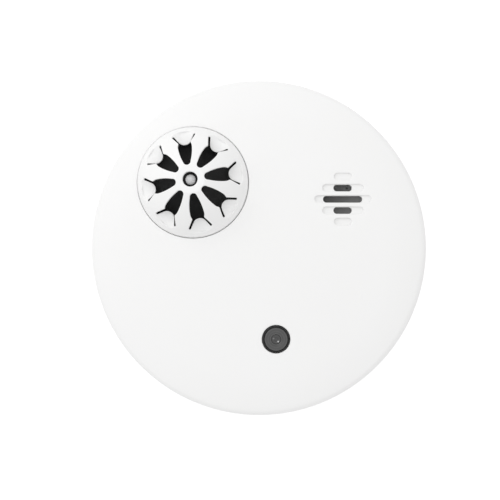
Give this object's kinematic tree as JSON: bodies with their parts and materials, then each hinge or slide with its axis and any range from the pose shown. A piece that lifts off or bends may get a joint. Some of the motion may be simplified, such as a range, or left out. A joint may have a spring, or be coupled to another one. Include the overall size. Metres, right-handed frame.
{
  "type": "smoke detector",
  "caption": "Round ceiling smoke and heat alarm with an offset domed sensor cage, slotted sounder grille, smoked test button and twist-off bayonet bracket.",
  "frame": {"origin": "centre of the mounting bracket's back face, which lies on the ceiling", "axes": "+Z out of the front face, away from the ceiling; +Y towards the edge of the face above the test button; +X to the right of the face, towards the sounder grille"},
  "size_m": [0.116, 0.116, 0.0468],
  "materials": {
    "white_moulding": "fine satin moulding",
    "white_bracket": "satin moulding",
    "smoked_button": "polished smoked",
    "smoked_clear": "polished smoked clear",
    "black_moulding": "matt, light absorbing",
    "grey_screen": "woven dust cloth",
    "screen_steel": "etched sheet",
    "grey_bead": "dipped resin",
    "screw_steel": "zinc plated",
    "tag_nickel": "nickel strip",
    "board_green": "solder mask",
    "cell_sleeve": "shrink sleeve",
    "chip_black": "moulded epoxy",
    "disc_brass": "plain",
    "gasket_rubber": "soft foam rubber"
  },
  "bodies": {
    "bracket": {"mounting_bracket": "white_bracket"},
    "head": {"back_case": "white_moulding", "case_screws": "screw_steel", "front_cover": "white_moulding", "sensor_cage": "white_moulding", "chamber_base": "black_moulding", "infrared_led": "smoked_clear", "photodiode": "smoked_clear", "labyrinth": "black_moulding", "insect_screen": "screen_steel", "chamber_cover": "black_moulding", "thermistor_holder": "black_moulding", "thermistor": "grey_bead", "main_board": "board_green", "board_screws": "screw_steel", "lithium_cell": "cell_sleeve", "cell_tags": "tag_nickel", "microcontroller": "chip_black", "boost_coil": "chip_black", "electrolytic_capacitor": "cell_sleeve", "sounder_housing": "black_moulding", "sounder_disc": "disc_brass", "sounder_gasket": "gasket_rubber", "sounder_screen": "grey_screen", "indicator_led": "smoked_clear", "tact_switch": "chip_black", "tamper_switch": "chip_black"},
    "button": {"test_button": "smoked_button", "light_guide": "smoked_clear"},
    "test_plunger": {"switch_plunger": "chip_black"},
    "tamper_pin": {"tamper_plunger": "white_moulding"}
  },
  "joints": [
    {"name": "head_twist", "type": "hinge", "parent": "bracket", "child": "head", "pos_m": [0, 0, 0.005], "axis": [0, 0, 1], "range_deg": [0, 28]},
    {"name": "button_press", "type": "slide", "parent": "head", "child": "button", "axis": [0, 0, -1], "range_m": [0, 0.0006], "stiffness_N_per_m": 3000, "springref_m": -0.0002},
    {"name": "switch_press", "type": "slide", "parent": "head", "child": "test_plunger", "axis": [0, 0, -1], "range_m": [0, 0.0006]},
    {"name": "tamper_press", "type": "slide", "parent": "head", "child": "tamper_pin", "axis": [0, 0, 1], "range_m": [0, 0.001], "stiffness_N_per_m": 400, "springref_m": -0.0005}
  ],
  "couplings": [
    {"joint": "switch_press", "follows": "button_press", "ratio": 1}
  ]
}
